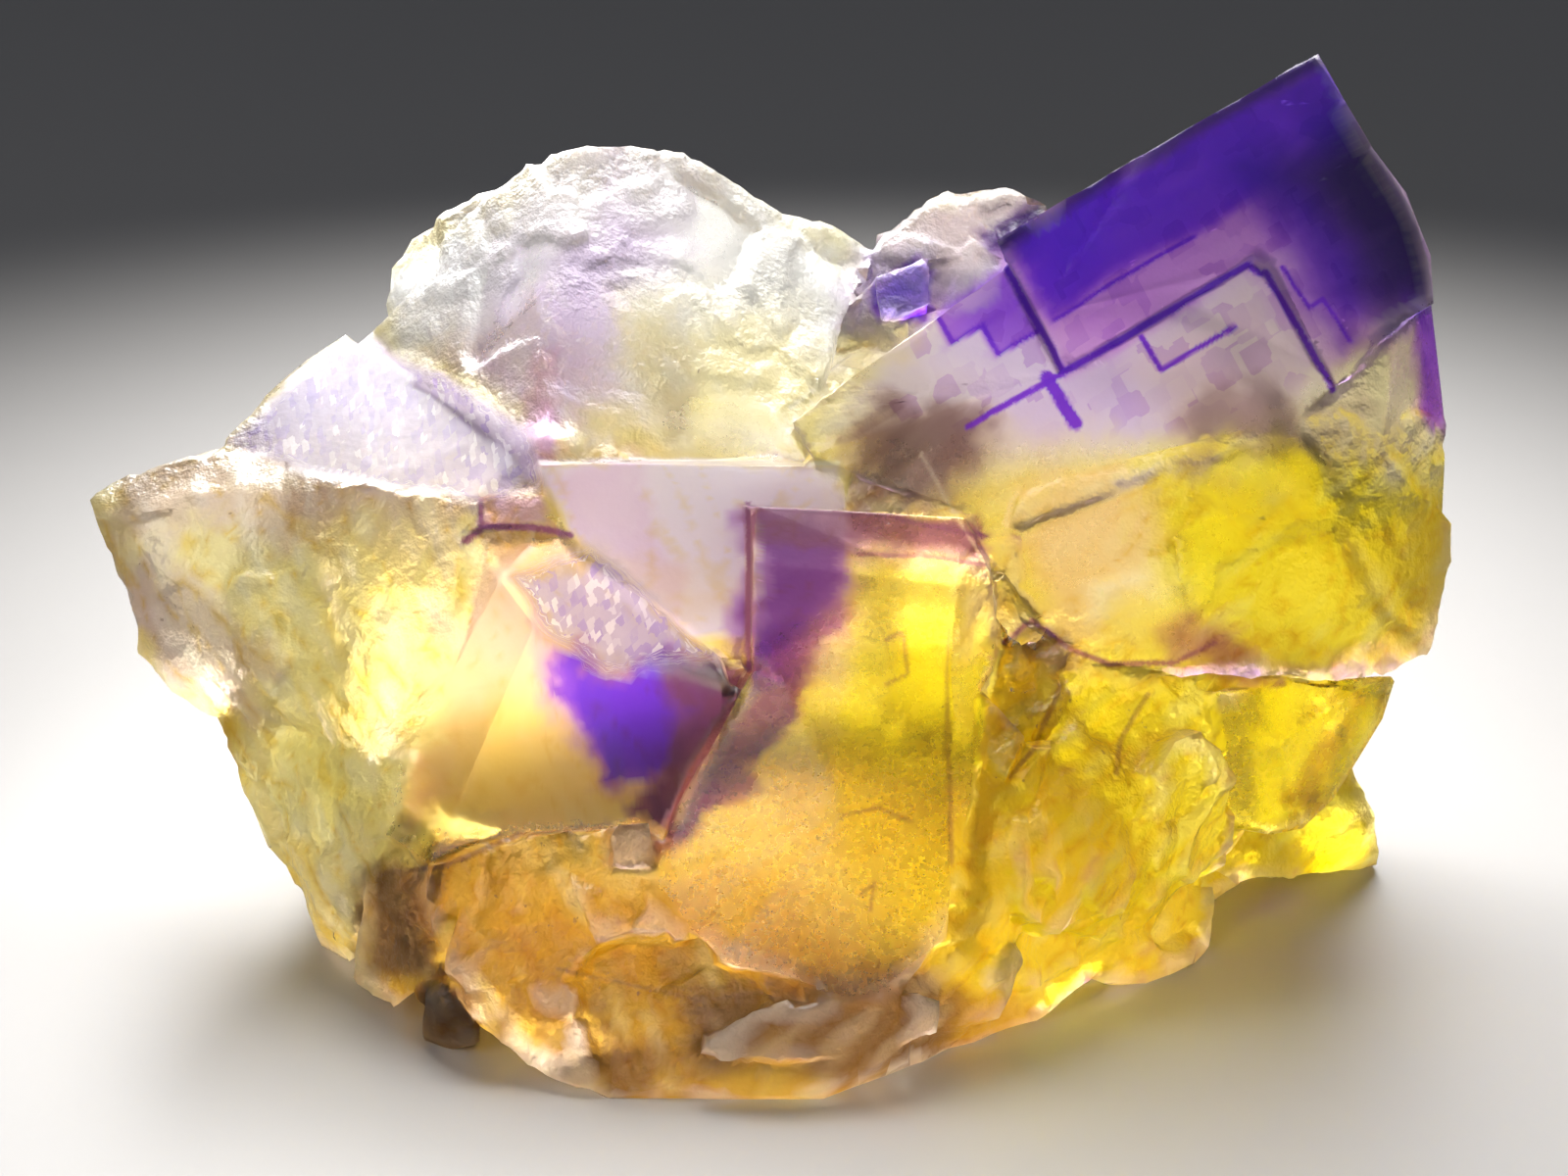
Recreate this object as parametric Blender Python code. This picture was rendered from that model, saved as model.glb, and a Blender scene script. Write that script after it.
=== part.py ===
"""Fluorite specimen: a broken cluster of intergrown cubes, grown as one piece.

The blocks below are drawn as they are seen from a little above the table: u runs to the right and v
up on a picture plane through the middle of the specimen, and near is how far a corner stands in front
of that plane, all in millimetres. Each block is the convex solid of its corners. The blocks are
joined into one solid, their broken faces are chipped into plates and ledges, and the solid is cut
flat where it stands.
"""

from math import cos, floor, radians, sin, sqrt

import bmesh
import bpy
from mathutils import Matrix, Vector, noise
from mathutils.bvhtree import BVHTree

MM = 0.001
NODE_NAME = "fluorite_cluster"

LOOKING_DOWN = radians(22)
EYE_DISTANCE = 190.0
PICTURE_CENTRE = Vector((0.85, -3.0, 18.8))
RIGHTWARDS = Vector((1, 0, 0))
UPWARDS = Vector((0, sin(LOOKING_DOWN), cos(LOOKING_DOWN)))
NEARWARDS = Vector((0, -cos(LOOKING_DOWN), sin(LOOKING_DOWN)))

# The great crystal's cube edges rise to the right and fall to the right across the picture plane.
CRYSTAL_ROLL = radians(30)
CUBE_EDGES = (
    RIGHTWARDS * cos(CRYSTAL_ROLL) + UPWARDS * sin(CRYSTAL_ROLL),
    RIGHTWARDS * sin(CRYSTAL_ROLL) - UPWARDS * cos(CRYSTAL_ROLL),
    NEARWARDS,
)
# Fluorite splits along the four octahedral planes of its cube.
CLEAVAGES = [
    (CUBE_EDGES[0] * a + CUBE_EDGES[1] * b + CUBE_EDGES[2]) / sqrt(3)
    for a in (1, -1)
    for b in (1, -1)
]

# The grain is the spacing of the points that carry the break.
GRAIN = 0.45
PLATE_SIZES = (7.0, 2.6)
PLATE_STEPS = (0.7, 0.2)
PLATE_TILT = 0.13
LEDGE_HEIGHT = 1.7
LEDGE_SHARPNESS = 0.45
LEDGE_RISER = 0.14
LEDGE_WANDER = 1.8
WANDER_LENGTH = 6.0
# The break fades out over this height above the table, so the foot is cut clean.
FOOT_HEIGHT = 1.5
MOST_TRIANGLES = 8600

FLUORITE_IOR = 1.434
FLUORITE_CLEARNESS = 0.8
# Each finish has its colour, its roughness and how much of the break it takes.
FINISHES = {
    "crystal": ((0.55, 0.38, 0.78, 1), 0.15, 0.0),
    "worn": ((0.88, 0.80, 0.45, 1), 0.3, 0.4),
    "broken": ((0.90, 0.70, 0.10, 1), 0.4, 1.0),
}

CORE = [
    (-19, 2, 1.5), (-16, -15, 4), (-2, 4, 1.5), (10, 6, 1), (29, -2, -2), (22.5, -14, -3),
    (9, -21, 5), (-8, -23, 8), (-23.5, 2, -12), (-19, -8, -14), (-8, 13.5, -16),
    (10, 13.5, -17), (26.5, 11, -14), (29, -2, -15), (22.5, -11, -17), (-5, -11.5, -19),
]
LEFT_WING = [
    (-35.4, 4.2, -5), (-34.3, 5.3, -6), (-28.8, 7, -5), (-28.3, 7.3, -9), (-21, 5.2, 0.5),
    (-15.5, 4.2, 2.5), (-16.5, 2, 3), (-16.3, 0, 3.5), (-17.3, -4.5, 4.5), (-19.3, -9, 4.5),
    (-28.8, -6.7, -5), (-32.3, -3.8, -6.5), (-33.5, -1, -7), (-34.7, 2, -6),
    (-32.5, 3.5, -11), (-28, -2, -13), (-23.5, 6, -13),
]
LEFT_LEG = [
    (-28.8, -6.7, -5), (-26.8, -9.3, -3.5), (-25.2, -11.5, -2), (-24.5, -13.5, -1),
    (-23.9, -15, 0), (-23.7, -17, -1.5), (-23.5, -18.5, -3.5), (-21.8, -19.2, -1),
    (-21, -15, 3), (-20.8, -12.5, 5), (-17.3, -4.5, 4.5), (-16.5, 2, 3),
    (-25, 0, -10), (-23.5, -10, -13), (-22, -15, -8),
]
FROSTED_SHELF = [
    (-28.6, 7.4, -6), (-25.7, 10.8, -9), (-22.4, 13.1, -10.5), (-12.8, 8, -1), (-12.2, 5.4, 1.5),
    (-15.5, 4.3, 2.6), (-21, 5.2, 0.5), (-25.5, 6.1, -2.5), (-25, 2, -3), (-16, 0, 1),
    (-21.5, 6, -13),
]
PEAK = [
    (-16, 19, -9), (-14, 20.6, -8.5), (-12, 22.4, -7.5), (-10.3, 22.9, -7), (-8, 23, -8),
    (-6, 22.4, -9.5), (-2, 20.4, -11), (3, 17.8, -13), (4.3, 17.2, -14), (-11.5, 15, -2.5),
    (-12.6, 10, 0), (-12.7, 6.6, 1.5), (-20, 14, -9.5), (-21.5, 12.4, -10),
    (2.5, 12.5, -9), (0.3, 8.5, -3.5), (0.5, 6.8, -2), (-9, 6.5, 0.5),
    (-8, 20, -18), (-15, 17, -16), (1, 16, -19), (-10, 10, -18),
]
LEFT_LOBE = [
    (-20.8, 14.1, -10), (-20.2, 15.9, -11), (-19.1, 17.8, -11), (-16.2, 19.2, -10),
    (-14, 20.6, -10), (-15, 15, -8), (-19, 13.5, -9), (-18, 15.5, -17), (-14, 17, -17),
]
MIDDLE_CRYSTAL = [
    (-12.8, 6.4, 1.8), (3, 6.2, 2), (3.5, -5, 4.5), (-5, -3, 4.2), (-10, 1.5, 3.2),
    (-12, 4, 2.4), (-12, 6.5, -6), (3, 6.7, -6), (-5, -5, -4),
]
# A frosted ledge, with a dark wall falling away below it.
STEP_CRYSTAL = [
    (-15.6, 2.8, 1), (-12, 3.1, 2), (-8, 0, 3), (-5, -2.3, 3.8), (-3.1, -3.8, 5.2),
    (-14.5, 0.4, 4.5), (-12.8, -2, 6), (-9.5, -3.1, 6.6), (-5, -4.2, 6.4),
    (-20.8, -12.7, 5), (-18, -14.2, 6.8), (-8, -13, 8.1), (-5.5, -12.5, 8),
    (-2.7, -5, 6.4), (-17, -5, 0), (-5, -5, -2), (-12, 3, -2),
]
PINK_STEP = [
    (-15.6, 4.4, 2.2), (-12.2, 4.9, 2.4), (-11.9, 3.2, 2.8), (-15.4, 2.9, 2.8),
    (-15, 4, -2), (-12, 4.5, -2), (-13.5, 2, -2),
]
# The violet block at the head of the front crystal, and the crystal's body below it.
VIOLET_BLOCK = [
    (-1.7, 4.2, 5.4), (3.6, 3.8, 5.2), (9.2, 3.6, 4.8), (10.6, 0.8, 5.8), (11, -2, 6.2),
    (-1.7, 1.3, 6.7), (8.7, 0.1, 6.9), (-1.7, -3.6, 7.7), (-0.9, -4.8, 7.9), (0.8, -4.7, 8),
    (8.4, -5, 8.1), (-1.7, 4, -3), (10, 3, -3), (-1.7, -5, -3), (10, -5, -3),
]
FRONT_CRYSTAL = [
    (-0.9, -3, 7.4), (8.8, -1, 7), (10.9, -3, 6.2), (8.4, -5, 8), (-2, -5.4, 7.6),
    (-3.7, -8, 8), (-5.4, -11, 8.6), (-6.8, -14.5, 9.4), (-5.2, -17.2, 10.2), (-3, -19.2, 10.8),
    (0, -20.1, 11.2), (4.5, -20.6, 11.6), (6.8, -19.6, 11.3), (8.3, -17.4, 10.9), (3, -11, 9.9),
    (-2, -5, -3), (10, -5, -3), (8, -18, 0), (-5, -15, 0),
]
RIGHT_BASE = [
    (8.4, -5, 8), (8.3, -17.9, 10.6), (11, -2, 5.6), (13.1, -2, 4.4), (16.8, -4.1, 2.2),
    (22.3, -5.2, 0.4), (22, -8, 1.6), (22, -12.6, -0.4), (18, -18, 0), (15, -20.1, 2),
    (13.1, -22.3, 3.8), (10.5, -22.5, 5), (8, -23.8, 6.6), (26, -5, -12), (25, -10, -12),
]
RIGHT_LOBE = [
    (21.8, -5.2, 1.2), (29.3, -5.1, -2.4), (31.3, -4.4, -3.8), (30.5, -6.8, -3.8),
    (29, -8.7, -3.6), (28, -10.8, -3.4), (26.5, -12.3, -3), (24.8, -12.6, -2.4),
    (23, -12.5, -1.6), (21.6, -8.6, 1.4), (25.2, -8, 0.2), (28.5, -5, -12), (26.5, -10, -12),
]
RIGHT_FOOT = [
    (18, -18, 0.5), (19.5, -19.8, -1), (21.1, -19.3, -2), (22, -17.9, -3.5), (22.3, -15.3, -4),
    (18.3, -20.3, 0), (16.5, -20.3, 0.8), (15, -20, 2), (16, -15, 2), (18, -15, -10),
]
GREAT_CRYSTAL = [
    (0.3, 8.5, 2.6), (11, 16.1, 2.6), (26.9, 25.6, 2.6), (31.5, 16, 2.6), (30.5, 7.5, 2.6),
    (20, 5.5, 2.6), (11, 3, 2.6), (1.5, 6.5, 2.6), (33, 15, -1), (33.7, 8.5, -2.2),
    (1, 8.2, -8), (11, 15.5, -14), (25, 23.5, -14), (31, 14, -15), (30, 4, -15), (12, 2, -10),
]
# The lower edge of the great crystal's broken part overhangs the base.
GREAT_CRYSTAL_BREAK = [
    (10.6, 2, 2.8), (12.5, 5, 2.8), (21, 7, 3), (30.6, 9.5, 2.5), (33.9, 8.5, -2),
    (33.8, 2, -2.2), (32.8, -3.4, -2.8), (31.2, -4.3, -1.4), (29, -4.8, 0.4), (24, -4.8, 2.6),
    (22, -2.8, 3.2), (16.5, -3.9, 3.6), (14.3, -2.9, 3.6), (12.5, -1.6, 3.4), (31.2, 2, 1),
    (12, 0, -8), (30, 0, -13), (28, 6, -13),
]
# The upper crystal is a plate that stands proud of the great crystal's face, with a stepped foot.
UPPER_CRYSTAL_OUTLINE = [
    (10.75, 17.75), (27.25, 27.35), (28.25, 25.5), (30, 22.5), (31.75, 20.2), (33, 17),
    (33.15, 14.5), (31, 13.2), (28.2, 9.8), (26.2, 13.8), (24.4, 17.1), (14.25, 11),
]
UPPER_CRYSTAL_DEPTHS = (3.3, -12.5)
UPPER_CRYSTAL_TAPER = 0.93
BACK_CRYSTALS = [
    (4.2, 16.8, -13), (5.2, 17.8, -13), (6.5, 18.8, -14), (8, 19.8, -14), (10, 20.3, -14),
    (12.2, 20.2, -14), (14, 19.8, -14), (15, 17, -13), (12.5, 13.5, -12), (5, 13.5, -11),
    (4, 15, -11), (9, 16, -17), (6, 8, -13), (14, 8, -14), (2, 13, -13), (3.3, 16, -13),
]
BACK_CUBE = [
    (4.6, 15.8, -9), (7.3, 16.9, -9.5), (7.4, 14.5, -9), (5, 13.4, -8.5),
    (4.6, 15.7, -13), (7.3, 16.7, -13), (7.4, 14, -13),
]
FRONT_FOOT = [
    (-18.5, -14.6, 6.8), (-17.8, -18, 7.6), (-17.3, -20.1, 7.6), (-15.5, -22.2, 8.3),
    (-12.8, -24.4, 9.4), (-11, -25.6, 10.2), (-9.3, -26.1, 10.6), (-7.5, -26, 10.6),
    (-5, -25.1, 11), (-0.5, -25.7, 11), (1.5, -26.3, 11), (4.3, -25.1, 9.4), (8.1, -23.8, 6.6),
    (8.3, -17.9, 9.6), (0, -20, 10.2), (-5, -18, 9.6), (-8, -13.1, 8.6), (-12, -12.6, 8.2),
    (-18, -14.1, 7.2), (-17.5, -15, -3), (5, -20, -2),
]
# A grey slab lies against the foot of the front crystal.
GREY_SLAB = [
    (-4.6, -22.8, 11.8), (-1, -21.2, 12), (4, -20.6, 12), (8, -20.8, 10.4), (8, -22.6, 9),
    (4.5, -23.6, 10.6), (0, -24.2, 11.8), (-4, -24, 11.6), (0, -22, 4),
]
GREY_CUBE = [
    (-9, -12, 9.5), (-6.6, -11.8, 9.7), (-6.3, -14.2, 9.9), (-8.9, -14.4, 9.7), (-8, -13, 6),
]
SMOKY_BLOCK = [
    (-21.5, -15.1, 3.4), (-18, -14.7, 6.4), (-17.5, -20, 7), (-20, -21.5, 4.5),
    (-21.9, -20, 2), (-21.6, -18, 2.4), (-20, -15, -4), (-19, -19, -4), (-20.5, -12, 3.5),
    (-18, -12, 5),
]
SMOKY_CUBE = [
    (-18.5, -20.6, 7.4), (-15.6, -20.4, 8.2), (-15.4, -23.3, 7.4), (-17, -23.6, 6.1),
    (-18.5, -23.1, 5.9), (-17.5, -20.6, 2), (-16, -22, 2),
]
BACK_FLAKE = [
    (29, -8.4, -7), (30, -11, -9), (30.6, -13.1, -11.2), (30.3, -14.3, -12.6),
    (25, -14.8, -9.5), (22.3, -15.3, -6), (20, -14, -4), (22.5, -12.5, -5),
    (25, -10, -17), (29, -11.5, -16),
]
# Each block has its corners and its finish.
BLOCKS = {
    "left_wing": (LEFT_WING, "worn"),
    "left_leg": (LEFT_LEG, "worn"),
    "frosted_shelf": (FROSTED_SHELF, "crystal"),
    "peak": (PEAK, "worn"),
    "left_lobe": (LEFT_LOBE, "worn"),
    "middle_crystal": (MIDDLE_CRYSTAL, "crystal"),
    "step_crystal": (STEP_CRYSTAL, "crystal"),
    "pink_step": (PINK_STEP, "crystal"),
    "violet_block": (VIOLET_BLOCK, "crystal"),
    "front_crystal": (FRONT_CRYSTAL, "crystal"),
    "right_base": (RIGHT_BASE, "broken"),
    "right_lobe": (RIGHT_LOBE, "crystal"),
    "right_foot": (RIGHT_FOOT, "broken"),
    "great_crystal": (GREAT_CRYSTAL, "crystal"),
    "great_crystal_break": (GREAT_CRYSTAL_BREAK, "worn"),
    "back_crystals": (BACK_CRYSTALS, "broken"),
    "back_cube": (BACK_CUBE, "crystal"),
    "front_foot": (FRONT_FOOT, "broken"),
    "grey_slab": (GREY_SLAB, "worn"),
    "grey_cube": (GREY_CUBE, "crystal"),
    "smoky_block": (SMOKY_BLOCK, "crystal"),
    "smoky_cube": (SMOKY_CUBE, "crystal"),
    "back_flake": (BACK_FLAKE, "worn"),
}
# Cubes that stand out of the side turned away: x, y, z of the centre, edge length, turn and tilt.
REAR_CUBES = {
    "rear_left_cube": ((-12, 9, 14.5), 18, radians(28), radians(14)),
    "rear_right_cube": ((12, 10, 16), 16, radians(-24), radians(-12)),
    "rear_middle_cube": ((1, 13, 8.5), 11, radians(8), radians(24)),
    "rear_small_cube": ((23.5, 7, 24), 10, radians(12), radians(22)),
    "rear_corner_cube": ((-20, 11, 20), 7, radians(50), radians(-18)),
    "rear_low_cube": ((21, 8, 7), 8, radians(35), radians(10)),
}
# The foot: x, y, z of its corners. Its lower side is cut off flat at the table.
FOOT = [
    (-21, -5, -1), (-14, -15, -1), (1, -20, -1), (10, -16.5, -1), (19, -8, -1), (28, 4, -1),
    (24, 11, -1), (2, 13, -1), (-17, 8, -1), (-19, -4, 7), (-11, -12, 8), (2, -15, 8),
    (16, -6, 8), (24, 4, 8), (18, 9, 9), (0, 11, 9), (-14, 6, 9),
]


def seen(u, v, near):
    """The point that stands near millimetres in front of the picture plane and is seen at u, v on it."""
    shrink = 1 - near / EYE_DISTANCE
    return (PICTURE_CENTRE + (RIGHTWARDS * u + UPWARDS * v) * shrink + NEARWARDS * near) * MM


def clear_scene():
    for old in list(bpy.data.objects):
        bpy.data.objects.remove(old, do_unlink=True)


def fluorite(finish):
    """The material of a finish."""
    colour, roughness, _ = FINISHES[finish]
    made = bpy.data.materials.new("fluorite_" + finish)
    made.use_nodes = True
    shader = made.node_tree.nodes["Principled BSDF"]
    shader.inputs["Base Color"].default_value = colour
    shader.inputs["Roughness"].default_value = roughness
    shader.inputs["Metallic"].default_value = 0.0
    shader.inputs["IOR"].default_value = FLUORITE_IOR
    shader.inputs["Transmission Weight"].default_value = FLUORITE_CLEARNESS
    return made


def solid(name, bm, finish, materials):
    """The object of a bmesh, all in one finish."""
    bmesh.ops.recalc_face_normals(bm, faces=bm.faces)
    for face in bm.faces:
        face.material_index = list(FINISHES).index(finish)
    mesh = bpy.data.meshes.new(name)
    for material in materials:
        mesh.materials.append(material)
    bm.to_mesh(mesh)
    bm.free()
    made = bpy.data.objects.new(name, mesh)
    bpy.context.scene.collection.objects.link(made)
    return made


def block(name, corners, finish, materials):
    """The convex solid of corners."""
    bm = bmesh.new()
    for corner in corners:
        bm.verts.new(corner)
    made = bmesh.ops.convex_hull(bm, input=bm.verts)
    unused = [v for v in made["geom_interior"] + made["geom_unused"] if isinstance(v, bmesh.types.BMVert)]
    bmesh.ops.delete(bm, geom=list(set(unused)), context="VERTS")
    return solid(name, bm, finish, materials)


def upper_crystal(materials):
    """The stepped plate at the top of the great crystal, narrowing away from the front."""
    front, back = UPPER_CRYSTAL_DEPTHS
    middle = sum((Vector(point) for point in UPPER_CRYSTAL_OUTLINE), Vector((0, 0)))
    middle /= len(UPPER_CRYSTAL_OUTLINE)
    bm = bmesh.new()
    face = bm.faces.new([bm.verts.new(seen(u, v, front)) for u, v in UPPER_CRYSTAL_OUTLINE])
    bmesh.ops.extrude_face_region(bm, geom=[face], use_keep_orig=True)
    bm.verts.ensure_lookup_table()
    for vert, point in zip(bm.verts[len(UPPER_CRYSTAL_OUTLINE):], UPPER_CRYSTAL_OUTLINE):
        narrowed = middle + (Vector(point) - middle) * UPPER_CRYSTAL_TAPER
        vert.co = seen(narrowed.x, narrowed.y, back)
    return solid("upper_crystal", bm, "crystal", materials)


def cube_crystal(name, centre, edge, turn, tilt, materials):
    """A cube that stands out of the broken mass."""
    bm = bmesh.new()
    place = Matrix.Translation(Vector(centre) * MM) @ Matrix.Rotation(turn, 4, "Z")
    bmesh.ops.create_cube(bm, size=edge * MM, matrix=place @ Matrix.Rotation(tilt, 4, "X"))
    return solid(name, bm, "crystal", materials)


def bake_modifiers(obj):
    graph = bpy.context.evaluated_depsgraph_get()
    made = bpy.data.meshes.new_from_object(obj.evaluated_get(graph))
    obj.modifiers.clear()
    obj.data = made


def join_all(first, others):
    """Joins the other solids to the first, one after another, and removes them."""
    for other in others:
        union = first.modifiers.new(other.name, "BOOLEAN")
        union.operation = "UNION"
        union.object = other
        bake_modifiers(first)
        bpy.data.objects.remove(other, do_unlink=True)


def joined_faces(obj):
    """A search tree of the joined solid's faces, and the finish number of each."""
    bm = bmesh.new()
    bm.from_mesh(obj.data)
    finishes = [face.material_index for face in bm.faces]
    tree = BVHTree.FromBMesh(bm)
    bm.free()
    return tree, finishes


def regrain(obj):
    """Rebuilds the surface as an even mesh, fine enough to carry the break."""
    remesh = obj.modifiers.new("even_grain", "REMESH")
    remesh.mode = "VOXEL"
    remesh.voxel_size = GRAIN * MM
    bake_modifiers(obj)


def plates(place, normal):
    """A flat plate in each cell of a break, with its own height and tilt."""
    moved = 0.0
    for size, step in zip(PLATE_SIZES, PLATE_STEPS):
        centre = noise.voronoi(place / size)[1][0]
        tilt = noise.cell_vector(centre * size) * 2 - Vector((1, 1, 1))
        tilt -= normal * tilt.dot(normal)
        moved += step * noise.cell(centre * size) + PLATE_TILT * tilt.dot(place - centre * size)
    return normal * moved


def ledge(height):
    """Height in ledges, snapped to flat treads with short risers between them."""
    level = floor(height)
    rise = (height - level - 0.5) / (2 * LEDGE_RISER) + 0.5
    rise = min(1.0, max(0.0, rise))
    return level + rise * rise * (3 - 2 * rise)


def ledges(place, normal):
    """Ledges along the cleavages, strongest where the face lies nearly along one."""
    moved = Vector((0, 0, 0))
    for number, cleavage in enumerate(CLEAVAGES):
        share = max(0.0, abs(normal.dot(cleavage)) - 0.5) * 2
        wander = LEDGE_WANDER * noise.noise(place / WANDER_LENGTH + Vector((17 * number, 5, 3)))
        height = place.dot(cleavage) / LEDGE_HEIGHT + wander
        moved += cleavage * ((ledge(height) - height) * LEDGE_HEIGHT * LEDGE_SHARPNESS * share)
    return moved


def break_faces(obj, tree, finishes):
    """Lays every point on the joined solid and moves it by what its finish takes of the break."""
    bm = bmesh.new()
    bm.from_mesh(obj.data)
    bm.normal_update()
    shares = [taken for _, _, taken in FINISHES.values()]
    places = []
    for vert in bm.verts:
        on_face, _, face, _ = tree.find_nearest(vert.co)
        place = on_face / MM - PICTURE_CENTRE
        moved = plates(place, vert.normal) + ledges(place, vert.normal)
        share = shares[finishes[face]] * min(1.0, max(0.0, on_face.z / MM / FOOT_HEIGHT))
        places.append(on_face + moved * share * MM)
    for vert, place in zip(bm.verts, places):
        vert.co = place
    for face in bm.faces:
        face.material_index = finishes[tree.find_nearest(face.calc_center_median())[2]]
    bm.to_mesh(obj.data)
    bm.free()


def thin_out(obj):
    """Drops the triangles that flat faces don't need."""
    decimate = obj.modifiers.new("flat_faces", "DECIMATE")
    decimate.ratio = MOST_TRIANGLES / (2 * len(obj.data.polygons))
    bake_modifiers(obj)


def rest_on_table(obj):
    """Cuts the solid off flat where it stands."""
    bm = bmesh.new()
    bm.from_mesh(obj.data)
    cut = bmesh.ops.bisect_plane(
        bm, geom=bm.verts[:] + bm.edges[:] + bm.faces[:], plane_co=(0, 0, 0), plane_no=(0, 0, 1),
        clear_inner=True,
    )
    rim = [e for e in cut["geom_cut"] if isinstance(e, bmesh.types.BMEdge)]
    bmesh.ops.holes_fill(bm, edges=rim)
    bmesh.ops.triangulate(bm, faces=bm.faces)
    bm.to_mesh(obj.data)
    bm.free()


def main():
    clear_scene()
    materials = [fluorite(finish) for finish in FINISHES]
    cluster = block(NODE_NAME, [seen(*corner) for corner in CORE], "broken", materials)
    others = [block("foot", [Vector(corner) * MM for corner in FOOT], "broken", materials)]
    for name, (corners, finish) in BLOCKS.items():
        others.append(block(name, [seen(*corner) for corner in corners], finish, materials))
    others.append(upper_crystal(materials))
    others += [cube_crystal(name, *sizes, materials) for name, sizes in REAR_CUBES.items()]
    join_all(cluster, others)
    tree, finishes = joined_faces(cluster)
    regrain(cluster)
    break_faces(cluster, tree, finishes)
    thin_out(cluster)
    rest_on_table(cluster)


main()
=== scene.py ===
"""Looks of a fluorite cluster: broken surface, colour zones, a pale table and soft light."""

from math import cos, radians, sin

import bmesh
import bpy
import numpy as np
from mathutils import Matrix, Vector, noise


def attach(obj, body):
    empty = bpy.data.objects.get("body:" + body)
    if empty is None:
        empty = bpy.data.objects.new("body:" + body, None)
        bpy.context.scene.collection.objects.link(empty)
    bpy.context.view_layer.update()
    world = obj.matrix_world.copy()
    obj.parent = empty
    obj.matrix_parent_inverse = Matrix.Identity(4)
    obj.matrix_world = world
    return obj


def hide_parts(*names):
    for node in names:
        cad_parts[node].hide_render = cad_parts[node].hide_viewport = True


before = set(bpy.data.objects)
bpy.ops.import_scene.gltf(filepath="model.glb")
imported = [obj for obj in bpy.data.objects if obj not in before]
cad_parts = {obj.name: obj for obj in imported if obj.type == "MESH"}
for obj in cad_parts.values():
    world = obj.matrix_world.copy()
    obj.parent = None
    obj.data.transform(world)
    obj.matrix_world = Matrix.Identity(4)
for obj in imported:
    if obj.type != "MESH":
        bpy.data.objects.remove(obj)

MM = 0.001
CLUSTER = "fluorite_cluster"

# The colour zones are drawn as they are seen from the front: u to the right and v up,
# in millimetres, on a picture plane through the middle of the specimen.
LOOKING_DOWN = radians(22)
EYE_DISTANCE = 190.0
PICTURE_CENTRE = Vector((0.85, -3.0, 18.8))
RIGHTWARDS = Vector((1, 0, 0))
UPWARDS = Vector((0, sin(LOOKING_DOWN), cos(LOOKING_DOWN)))
NEARWARDS = Vector((0, -cos(LOOKING_DOWN), sin(LOOKING_DOWN)))
FRAME_WIDTH = 80.0

FLUORITE_IOR = 1.434
TRANSMISSION = 0.90
ABSORPTION = 14  # per metre, of what the depth's tint lacks


# Colour zones

def rgb(red, green, blue):
    return (red, green, blue, 1.0)


PALE_YELLOW = rgb(0.94, 0.84, 0.42)
YELLOW = rgb(0.92, 0.68, 0.05)
RICH_YELLOW = rgb(0.96, 0.74, 0.004)
HONEY = rgb(0.50, 0.22, 0.003)
PEACH = rgb(0.82, 0.52, 0.22)
WHITE = rgb(0.95, 0.96, 0.98)
LILAC = rgb(0.70, 0.54, 0.92)
FROST = rgb(0.34, 0.27, 0.42)
PINK = rgb(0.68, 0.34, 0.66)
ROSE = rgb(0.66, 0.48, 0.44)
BRIGHT_VIOLET = rgb(0.06, 0.002, 0.75)
VIOLET = rgb(0.022, 0.001, 0.38)
INDIGO = rgb(0.006, 0.001, 0.05)
PLUM = rgb(0.10, 0.012, 0.08)
LEMON = rgb(0.94, 0.82, 0.20)
BROWN = rgb(0.15, 0.06, 0.02)
SMOKE = rgb(0.13, 0.06, 0.06)
GREY_BROWN = rgb(0.10, 0.036, 0.006)
CREAM = rgb(0.97, 0.92, 0.70)
BLUSH = rgb(0.95, 0.80, 0.68)
ICE = rgb(0.90, 0.84, 1.0)
PURPLE = rgb(0.09, 0.008, 0.24)
GOLD = rgb(0.84, 0.54, 0.06)
ORCHID = rgb(0.66, 0.28, 0.84)
MAROON = rgb(0.16, 0.03, 0.05)
DARK_PLUM = rgb(0.04, 0.004, 0.03)
MAUVE = rgb(0.44, 0.20, 0.36)
STEP_TINT = rgb(0.66, 0.42, 0.84)
FROST_SHADE = rgb(0.20, 0.12, 0.42)
DEPTH_TINT = rgb(1.0, 0.92, 0.72)
TABLE_GREY = rgb(0.29, 0.278, 0.265)
ROOM_LIGHT = rgb(0.80, 0.86, 1.0)

GREAT_CORNER = Vector((10.75, 17.75))
GREAT_TURN = radians(30)
GREAT_ALONG = Vector((cos(GREAT_TURN), sin(GREAT_TURN)))
GREAT_DOWN = Vector((sin(GREAT_TURN), -cos(GREAT_TURN)))

GREAT_OUTLINE = [(0.3, 9), (7.8, 14.5), (10.7, 18.5), (27, 28), (35, 14), (34, 8), (22, 8), (13, 2),
                 (9, 1)]
SHELF_OUTLINE = [(-28.6, 7.4), (-25, 10.7), (-21.4, 12.7), (-12.8, 8), (-12.2, 5.4), (-15.5, 4.3),
                 (-21, 5.1), (-25.5, 6.1)]
WALL_OUTLINE = [(-17, 3), (-12, 1), (-3, -3.6), (-6, -11), (-19, -12)]
MIDDLE_OUTLINE = [(-12.6, 6.4), (3, 6.2), (3.5, 0), (-1.8, -2.5), (-5, -2.4), (-11, 3)]
LEDGE_OUTLINE = [(-14, 0.5), (-10, 2.2), (-3.1, -3.6), (-9, -4.0), (-12.8, -2)]

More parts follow.
